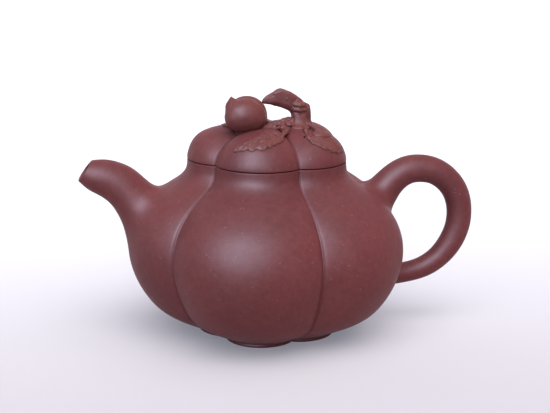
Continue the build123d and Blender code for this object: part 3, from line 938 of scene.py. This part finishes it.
def branch_shape(X):
    x, y, z = X[..., 0], X[..., 1], X[..., 2]
    d2 = limb_side(x, z)
    half = np.interp(x, [-3.8, -2.4, 0.5, 2.6, 5.2, 8.0, 15.0], [0.75, 1.35, 2.05, 2.6, 3.0, 3.05, 2.75])
    mid = np.interp(x, [-2.8, 2.0, 12.0], [-5.6, -5.3, -5.2])
    off = y - mid
    wall_f = -off - half - 0.10 * (z - 90)
    wall_b = off - half
    spine = np.interp(x, [-2.8, -0.9, 2.6, 5.2, 8.0, 11.4, 14.5], [89.0, 89.8, 90.4, 90.0, 88.9, 87.2, 84.5])
    k = np.interp(z - spine, [-2.0, 0.3, 1.6], [3.0, 1.6, 0.5])
    f = smax(smax(d2, wall_f, k), wall_b, 2.2)
    f = smax(f, (d2 + wall_f) * 0.7071 + 0.42, 0.2)
    f = smax(f, (d2 + wall_b) * 0.7071 + 0.75, 0.6)
    # the stem is three strands grown together
    stem = cone(X, (10.9, -6.5, 79.4), (10.5, -6.1, 86.4), 3.0, 2.45)
    stem = smin(stem, cone(X, (13.2, -4.6, 79.4), (12.85, -4.8, 86.4), 2.4, 2.2), 0.25)
    stem = smin(stem, cone(X, (10.6, -3.8, 79.4), (10.4, -4.1, 86.2), 2.7, 2.3), 0.35)
    f = smin(f, stem, 0.5)
    f = smin(f, ball(X, (13.75, -5.6, 87.2), 1.05), 0.4)
    # pursed bark folds round the bend
    lip1 = rope(X, [((8.0, -7.2, 88.1), 0.35), ((9.1, -7.9, 88.2), 0.85), ((10.7, -8.15, 88.05), 1.05), ((12.2, -7.6, 88.0), 0.90), ((13.0, -6.6, 87.9), 0.6)])
    lip2 = rope(X, [((7.9, -6.9, 86.5), 0.6), ((8.9, -7.7, 86.45), 0.95), ((10.6, -8.05, 86.2), 1.10), ((12.2, -7.6, 86.2), 0.95), ((13.4, -6.4, 86.5), 0.7)])
    f = smin(f, smin(lip1, lip2, 0.08), 0.4)
    f = smin(f, ball(X, (9.8, -7.8, 89.6), 0.60), 0.4)
    f = smin(f, ball(X, (5.84, -8.0, 90.4), 0.50), 0.25)
    f = smax(f, -rope(X, [((8.2, -8.1, 87.5), 0.12), ((9.3, -8.95, 87.3), 0.30), ((10.8, -9.2, 87.12), 0.36), ((12.2, -8.8, 87.15), 0.28), ((13.0, -8.0, 87.2), 0.10)]), 0.12)
    f = smax(f, -rope(X, [((8.2, -7.7, 85.35), 0.2), ((9.3, -8.6, 85.15), 0.5), ((10.8, -8.9, 84.95), 0.60), ((12.2, -8.5, 85.05), 0.45), ((13.2, -7.6, 85.2), 0.15)]), 0.25)
    f = smax(f, -rope(X, [((-0.6, -7.3, 90.9), 0.15), ((0.8, -7.9, 91.7), 0.34), ((2.0, -8.3, 92.3), 0.15)]), 0.15)
    # the pad of clay that the stem stands on
    f = smin(f, blob(X, (10.9, -7.6, 79.7), (4.4, 4.3, 1.35)), 1.9)
    f = smin(f, blob(X, (11.2, -4.0, 79.7), (5.0, 4.2, 1.4)), 1.9)
    return f + 0.09 * lump(X, 11, 4.5, 2)


V, Q = surface_net(lambda X: luted(X, branch_shape(X), 0.25, 2.4), (-5, -14, 77), (20, 3, 96), 0.17)
branch = mesh_object("branch_stem", V, Q)
finish_piece(branch, BARK_CLAY, "lid", ["branch"])


# twig -----------------------------------------------------------------------------
def twig_shape(X):
    f = rope(X, [((9.0, -6.8, 82.0), 1.45), ((6.6, -7.3, 82.1), 1.35), ((4.9, -7.7, 81.9), 1.3), ((3.4, -8.3, 81.0), 1.2),
                 ((1.8, -9.0, 80.4), 1.15), ((-0.6, -9.6, 80.1), 1.1), ((-3.4, -10.0, 80.2), 1.0)], 0.5)
    f = smin(f, rope(X, [((3.4, -6.0, 80.9), 1.0), ((1.3, -5.2, 80.0), 0.9), ((-0.4, -5.0, 80.4), 0.9), ((-1.9, -5.2, 81.5), 0.9), ((-4.2, -5.6, 82.6), 0.85)], 0.4), 0.3)
    f = smin(f, blob(X, (2.2, -7.4, 79.8), (5.0, 3.2, 1.1)), 0.8)
    f = smin(f, blob(X, (6.9, -8.3, 80.8), (2.4, 1.8, 1.3)), 0.6)
    f = smin(f, ball(X, (7.1, -8.0, 81.7), 0.85), 0.3)
    f = smax(f, -rope(X, [((6.6, -8.7, 82.3), 0.12), ((4.6, -9.0, 81.6), 0.24), ((2.6, -9.8, 80.6), 0.22), ((0.4, -10.5, 80.2), 0.14)]), 0.15)
    f = smax(f, -rope(X, [((3.4, -7.4, 82.1), 0.10), ((1.6, -8.0, 81.3), 0.2), ((-1.4, -8.5, 80.9), 0.14)]), 0.15)
    return f + 0.15 * lump(X, 23, 2.4, 2)


V, Q = surface_net(lambda X: luted(X, twig_shape(X), 0.3, 1.4), (-6, -13, 77.5), (13, -2, 86), 0.18)
twig = mesh_object("twig_shoot", V, Q)
finish_piece(twig, BARK_CLAY, "lid", ["twig"])


# leaf stalks ------------------------------------------------------------------------
def stalk(name, node, pts, knots, seed, lo, hi, k=0.4):
    def shape(X):
        f = rope(X, pts, k)
        for c, r in knots:
            f = smin(f, ball(X, c, r), 0.25)
        return f + 0.12 * lump(X, seed, 2.4, 2)
    V, Q = surface_net(lambda X: luted(X, shape(X), 0.25, 1.3), lo, hi, 0.17)
    ob = mesh_object(name, V, Q)
    return finish_piece(ob, BARK_CLAY, "lid", [node])


stalk("stalk_left_twisted", "stalk_left",
      [((7.6, -7.2, 81.8), 1.2), ((5.6, -7.9, 82.0), 0.95), ((4.3, -8.9, 81.3), 0.9), ((3.9, -10.3, 80.5), 0.85), ((4.6, -12.0, 79.9), 0.95),
       ((5.1, -13.6, 79.4), 0.9), ((4.3, -15.4, 79.0), 0.8), ((3.4, -17.0, 78.8), 0.75), ((2.8, -18.6, 78.4), 0.6)],
      [((3.55, -11.7, 80.1), 0.9), ((5.6, -12.3, 79.9), 0.95), ((4.4, -9.4, 81.3), 0.85), ((3.7, -14.5, 79.3), 0.7), ((5.3, -14.6, 79.2), 0.65), ((3.9, -16.6, 79.0), 0.65)],
      31, (-1, -22, 74), (12, -4, 85), 0.25)
right_stalk = stalk("stalk_right_twisted", "stalk_right",
      [((11.9, -9.3, 80.4), 0.95), ((11.9, -12.0, 79.7), 0.68), ((12.15, -14.2, 79.1), 0.72), ((12.2, -16.3, 78.3), 0.5), ((12.4, -18.2, 77.5), 0.55), ((13.3, -19.5, 76.7), 0.45)],
      [((12.1, -13.9, 79.4), 0.82), ((12.5, -18.2, 77.8), 0.55)], 37, (9, -23, 73), (17, -6, 84), 0.3)
# its luted foot is pierced together with the lid
cut(right_stalk, cutter("tool", [vent_tool(1.25)]))


# peach ----------------------------------------------------------------------------
NEAR, FAR = np.array([-9.9, -10.0, 84.85]), np.array([-9.0, -6.9, 85.0])
SUTURE = unit(FAR - NEAR)
PMID = (NEAR + FAR) / 2


def peach_shape(X):
    near = blob(X, NEAR, (7.3, 5.9, 6.2))
    near = smin(near, blob(X, (-12.7, -9.8, 83.6), (4.5, 4.4, 4.2)), 1.2)
    near = smin(near, blob(X, (-6.9, -9.8, 83.3), (4.7, 4.6, 4.3)), 1.2)
    far = smin(blob(X, FAR, (7.4, 5.5, 6.5)), blob(X, (-6.0, -7.0, 83.0), (4.6, 4.6, 4.0)), 1.2)
    f = smin(near, far, 0.8)
    tip = rope(X, [((-11.9, -9.0, 86.2), 5.1), ((-13.85, -8.9, 87.6), 3.2), ((-14.6, -8.8, 89.95), 1.25), ((-14.85, -8.75, 91.35), 0.3)], 0.6)
    f = smin(f, tip, 0.6)
    d = (X - PMID) @ SUTURE
    up = np.clip((X[..., 2] - 85.5) / 3.0, 0, 1)
    f = f + 0.16 * np.exp(-(d / 0.32) ** 2) * up * np.clip((X[..., 0] + 14.6) / 1.2, 0, 1)
    f = smax(f, -ball(X, (-1.9, -6.2, 90.6), 1.6), 0.8)
    return f + 0.06 * lump(X, 41, 7.0, 2)


def peach_cut(X):
    return np.maximum(peach_shape(X), -(lid_field(X) + 0.9))


V, Q = surface_net(peach_cut, (-19, -17.5, 77.5), (0.5, 1.0, 93.5), 0.23)
peach = mesh_object("peach_fruit", V, Q)
finish_piece(peach, KNOB_CLAY, "lid", ["peach"])


# leaves -----------------------------------------------------------------------------
def side_veins(mid, starts, turn, length, bend=0.10):
    """Side veins leave the midrib on both sides, swept towards the tip."""
    mid = np.asarray(mid, float)
    f = spline(chord(mid), mid)
    out = []
    for t in starts:
        p = f(np.array([t]))[0]
        d = f(np.array([min(t + 0.02, 1.0)]))[0] - p
        a0 = math.atan2(d[1], d[0])
        for sgn in (1, -1):
            q, a, line = p.copy(), a0 + sgn * math.radians(turn), [tuple(p)]
            for _ in range(5):
                q = q + np.array([math.cos(a), math.sin(a)]) * length / 5
                a -= sgn * bend
                line.append(tuple(q))
            out.append(line)
    return out


def leaf(name, node, outline, mid, starts, seed, turn=40, length=6.0, thick=0.30, lift=0.14, hold=0.55, bump=0.10, lumps=(), puff=0.13, tip_lift=None):
    """A thin leaf laid over the lid, its rim standing a little free; incised veins."""
    P = eased(outline)
    xs_, ys_ = [q[0] for q in P], [q[1] for q in P]
    box_ = (min(xs_) - 1.5, max(xs_) + 1.5, min(ys_) - 1.5, max(ys_) + 1.5)
    D = plane_table(lambda x, y: in_outline(x, y, P), *box_, 0.08)
    mid_d = plane_table(lambda x, y: near_line(x, y, [tuple(q) for q in mid]), *box_, 0.08)
    lines = side_veins(mid, starts, turn, length)

    def nearest(x, y):
        d = np.full(np.shape(x), 1e9)
        for l_ in lines:
            d = np.minimum(d, near_line(x, y, l_))
        return d
    side_d = plane_table(nearest, *box_, 0.08)

    def field(X):
        x, y = X[..., 0], X[..., 1]
        lid_d, d = lid_field(X), D(x, y)
        m_, s_ = mid_d(x, y), side_d(x, y)
        inn = np.clip(d / 0.5, 0, 1)
        relief = puff * np.clip(np.minimum(s_, m_ * 1.2) / 0.8, 0, 1) ** 0.7
        relief = relief - 0.10 * np.exp(-(s_ / 0.15) ** 2) - 0.15 * np.exp(-(m_ / 0.2) ** 2)
        for (cx, cy, r, h) in lumps:
            relief = relief + h * np.exp(-(((x - cx) ** 2 + (y - cy) ** 2) / r ** 2))
        up = lift
        if tip_lift is not None:
            tx, ty, tr, th = tip_lift
            up = up + th * np.exp(-(((x - tx) ** 2 + (y - ty) ** 2) / tr ** 2))
        top_ = up + thick + relief * inn + bump * lump(X, seed, 2.2, 3)
        sheet = smax(smax(lid_d - top_, up - lid_d, 0.1), -d * 0.95, 0.22)
        fill = smax(lid_d - up - 0.5 * thick, hold - d, 0.2)
        f = smin(sheet, fill, 0.1)
        return np.maximum(f, -(lid_d + 0.6))
    z_hi = float(lid_top(np.array(xs_), np.array(ys_)).max()) + 2.6
    z_lo = float(lid_top(np.array(xs_), np.array(ys_)).min()) - 1.6
    V, Q = surface_net(field, (box_[0] + 0.6, box_[2] + 0.6, z_lo), (box_[1] - 0.6, box_[3] - 0.6, z_hi), 0.16, steps=3)
    ob = mesh_object(name, V, Q, sharp=55)
    return finish_piece(ob, LEAF_CLAY, "lid", [node])


leaf("leaf_left_serrated", "leaf_left",
     [(3.5, -18.4), (3.2, -20.6), (2.2, -22.0), (1.5, -23.3), (0.5, -23.9), (-0.2, -25.0), (-1.3, -25.4), (-2.0, -26.5), (-3.2, -26.4), (-4.1, -27.2), (-5.2, -27.6), (-6.3, -27.3),
      (-7.4, -26.8), (-8.6, -27.2), (-9.8, -26.8), (-10.6, -25.9), (-11.6, -25.9), (-12.6, -25.3), (-13.9, -24.6), (-15.9, -23.0), (-14.0, -23.0),
      (-12.6, -23.2), (-11.6, -22.6), (-10.2, -22.9), (-9.4, -21.8), (-8.1, -22.0), (-7.3, -20.5), (-6.1, -20.5), (-5.5, -18.9), (-4.3, -18.7), (-3.8, -16.9), (-2.6, -16.8),
      (-1.8, -15.4), (-0.6, -15.8), (0.6, -14.9), (1.9, -15.2), (3.3, -15.8)],
     [(3.2, -17.8), (0.2, -19.6), (-3.6, -21.8), (-7.8, -23.8), (-11.6, -23.9), (-15.2, -22.7)],
     [0.06, 0.2, 0.34, 0.48, 0.62, 0.78], 51, turn=24, length=8.0, bump=0.16, puff=0.20,
     lumps=[(-1.9, -17.0, 0.75, 0.55), (0.2, -17.6, 0.7, 0.45), (-4.6, -20.2, 0.8, 0.40), (-6.3, -21.9, 0.8, 0.35), (-4.5, -23.8, 0.9, 0.35), (-0.6, -19.6, 0.8, 0.35), (1.6, -18.0, 0.8, 0.35), (-9.0, -24.6, 0.8, 0.25)])
leaf("leaf_right_serrated", "leaf_right",
     [(12.4, -18.8), (13.0, -20.3), (14.0, -21.0), (15.0, -20.9), (15.8, -21.5), (17.0, -21.4), (18.0, -21.7), (19.0, -21.3), (19.8, -20.6), (20.8, -20.8), (21.9, -20.2), (22.6, -19.3),
      (23.5, -19.0), (24.3, -17.8), (25.2, -16.6), (25.9, -15.1), (24.6, -15.4), (23.4, -14.6), (22.4, -15.0), (21.3, -14.6), (20.3, -15.4), (19.0, -15.8), (17.4, -16.4), (15.8, -16.8), (13.8, -17.6)],
     [(12.6, -18.9), (16.0, -19.1), (19.6, -18.3), (22.8, -17.1), (25.4, -15.6)],
     [0.1, 0.28, 0.46, 0.64, 0.82], 53, turn=22, length=6.0, bump=0.10, thick=0.26, lift=0.12)
leaf("leaf_back_serrated", "leaf_back",
     [(-4.4, -8.0), (-5.6, -9.4), (-6.6, -10.6), (-8.0, -10.8), (-8.9, -11.6), (-10.2, -11.2), (-11.0, -11.3), (-11.8, -10.0), (-12.8, -9.4), (-13.1, -7.9), (-14.2, -7.0), (-14.5, -5.6),
      (-15.7, -4.8), (-16.2, -3.4), (-17.3, -2.6), (-18.2, -1.0), (-17.1, -0.8), (-16.4, 0.5), (-15.0, 0.5), (-14.0, 1.7), (-12.6, 1.2), (-11.2, 2.0), (-9.8, 1.2), (-8.0, 0.8), (-5.8, 0.2), (-4.4, -2.6)],
     [(-4.4, -5.4), (-8.0, -5.4), (-12.0, -4.4), (-15.5, -2.8), (-18.2, -1.1)],
     [0.1, 0.25, 0.4, 0.55, 0.7, 0.85], 59, turn=42, length=7.0, bump=0.10, lift=0.22, tip_lift=(-18.2, -1.2, 2.6, 0.35))


# young leaf: a fleshy folded petal on its own short stalk ------------------------------
YC = np.array([18.1, -14.7])
_n = unit(gradient(lambda X: X[..., 2] - lid_top(X[..., 0], X[..., 1]), np.array([[YC[0], YC[1], 77.0]]), 0.5))[0]
YAX = np.array([0.93, 0.36, 0.0])
YAX = unit(YAX - (YAX @ _n) * _n)
YSIDE = np.cross(_n, YAX)
YMID = np.array([YC[0], YC[1], float(lid_top(YC[:1], YC[1:])[0])]) + 0.42 * _n


def young_shape(X):
    f = rope(X, [((12.6, -8.0, 81.2), 0.95), ((14.3, -9.4, 80.6), 0.72), ((15.4, -11.3, 80.0), 0.62), ((16.2, -13.6, 79.2), 0.65)], 0.35)
    d = X - YMID
    a, b = d @ YAX, d @ YSIDE
    bent = X + (0.035 * a ** 2)[..., None] * _n - (0.03 * a * np.abs(a))[..., None] * YSIDE * 0.5
    petal = blob(bent, YMID, (4.0, 2.55, 1.15), (YAX, YSIDE, _n))
    petal = petal + 0.20 * np.exp(-((b - 0.25) / 0.28) ** 2) * np.clip((3.2 - a) / 2, 0, 1)
    f = smin(f, petal, 0.35)
    f = smin(f, ball(X, (13.9, -8.6, 80.9), 0.8), 0.3)
    return f + 0.07 * lump(X, 57, 3.0, 2)


V, Q = surface_net(lambda X: luted(X, young_shape(X), 0.2, 1.0), (11, -18, 74), (25, -5, 84), 0.18)
young = mesh_object("young_leaf_petal", V, Q)
finish_piece(young, LEAF_CLAY, "lid", ["young_leaf"])

# --- camera, light, floor ------------------------------------------------------------
cam_data = bpy.data.cameras.new("camera")
cam = bpy.data.objects.new("camera", cam_data)
bpy.context.scene.collection.objects.link(cam)
cam_data.sensor_width = 36.0
cam_data.lens = 78.48
CAM_POS = Vector((-0.05261133, -0.44310593, 0.15709333))
az, el, roll = math.radians(-7.1048), math.radians(13.7737), math.radians(0.3486)
fwd = Vector((-math.sin(az) * math.cos(el), math.cos(az) * math.cos(el), -math.sin(el)))
right = Vector((math.cos(az), math.sin(az), 0))
upv = right.cross(fwd)
r2 = right * math.cos(roll) + upv * math.sin(roll)
u2 = -right * math.sin(roll) + upv * math.cos(roll)
rot = Matrix((r2, u2, -fwd)).transposed()
cam.matrix_world = Matrix.Translation(CAM_POS) @ rot.to_4x4()
cam_data.clip_start, cam_data.clip_end = 0.01, 200
bpy.context.scene.camera = cam

sc = bpy.context.scene
sc.view_settings.view_transform = "Standard"
sc.view_settings.look = "None"
sc.view_settings.exposure = 0.0
world = bpy.data.worlds.new("studio")
sc.world = world
world.use_nodes = True
bg = world.node_tree.nodes["Background"]
bg.inputs[0].default_value = (0.88, 0.92, 1.02, 1)
bg.inputs[1].default_value = 0.44
# past the cloth's ends the room is as pale as the cloth; the light it gives stays soft
wn, wl = world.node_tree.nodes, world.node_tree.links
far = wn.new("ShaderNodeBackground")
far.inputs[0].default_value = (0.93, 0.93, 0.97, 1)
far.inputs[1].default_value = 1.0
seen, both = wn.new("ShaderNodeLightPath"), wn.new("ShaderNodeMixShader")
wl.new(seen.outputs["Is Camera Ray"], both.inputs[0])
wl.new(bg.outputs[0], both.inputs[1])
wl.new(far.outputs[0], both.inputs[2])
wl.new(both.outputs[0], wn["World Output"].inputs[0])

# the pale cloth: flat under the pot, sweeping up far behind it
sweep = [(-60.0, 0.0), (-4.0, 0.0), (-1.0, 0.0), (0.0, 0.0), (0.55, 0.0)]
SWEEP_R = 0.75
for i in range(1, 25):
    a = math.radians(90) * i / 24
    sweep.append((0.55 + SWEEP_R * math.sin(a), SWEEP_R * (1 - math.cos(a))))
sweep.append((0.55 + SWEEP_R, 2.6))
xs = np.array([-60.0, -12, -4, -2, -1, 0, 1, 2, 4, 12, 60])
fv = [(x, y, z) for y, z in sweep for x in xs]
nx = len(xs)
fq = [(i * nx + j, i * nx + j + 1, (i + 1) * nx + j + 1, (i + 1) * nx + j) for i in range(len(sweep) - 1) for j in range(nx - 1)]
me = bpy.data.meshes.new("floor")
me.from_pydata(fv, [], fq)
me.polygons.foreach_set("use_smooth", np.ones(len(me.polygons), bool))
floor = bpy.data.objects.new("floor", me)
sc.collection.objects.link(floor)
fm = bpy.data.materials.new("pale_floor")
fm.use_nodes = True
fb = fm.node_tree.nodes["Principled BSDF"]
fn = fm.node_tree.nodes
# painted shade and light: the cloth's colour is darker in front of the pot and round its foot, and paler behind it
sep = fn.new("ShaderNodeSeparateXYZ")
tcf = fn.new("ShaderNodeTexCoord")
fm.node_tree.links.new(tcf.outputs["Object"], sep.inputs[0])
fr = fn.new("ShaderNodeMapRange")
fr.interpolation_type = "SMOOTHSTEP"
fr.inputs["From Min"].default_value, fr.inputs["From Max"].default_value = -0.25, 0.45
fm.node_tree.links.new(sep.outputs["Y"], fr.inputs["Value"])
fx_ = fn.new("ShaderNodeMix")
fx_.data_type = "RGBA"
fx_.inputs["A"].default_value = (0.362, 0.316, 0.330, 1)
fx_.inputs["B"].default_value = (0.675, 0.68, 0.717, 1)
fm.node_tree.links.new(fr.outputs["Result"], fx_.inputs["Factor"])
fm.node_tree.links.new(fx_.outputs["Result"], fb.inputs["Base Color"])
fb.inputs["Roughness"].default_value = 0.95
fb.inputs["Emission Color"].default_value = (0.78, 0.85, 1.0, 1)
fb.inputs["Emission Strength"].default_value = 0.215
fb.inputs["Specular IOR Level"].default_value = 0.0
floor.data.materials.append(fm)


def sun(name, azimuth, elevation, strength, angle, color=(1, 1, 1), diffuse=True, glossy=True):
    d = bpy.data.lights.new(name, "SUN")
    d.energy = strength
    d.angle = math.radians(angle)
    d.color = color
    o = bpy.data.objects.new(name, d)
    sc.collection.objects.link(o)
    a, e = math.radians(azimuth), math.radians(elevation)
    towards = Vector((math.cos(e) * math.cos(a), math.cos(e) * math.sin(a), math.sin(e)))
    o.rotation_mode = "QUATERNION"
    o.rotation_quaternion = (-towards).to_track_quat("-Z", "Y")
    o.location = towards * 3
    o.visible_diffuse = diffuse
    o.visible_glossy = glossy
    return o


sun("key", -96, 56, 2.46, 66, (1.0, 0.985, 0.98), glossy=False)
sun("window", -121, 33, 25.5, 50, (0.89, 0.91, 1.14), diffuse=False)
sun("over", -30, 70, 1.42, 66, (1.0, 0.99, 0.99), glossy=False)
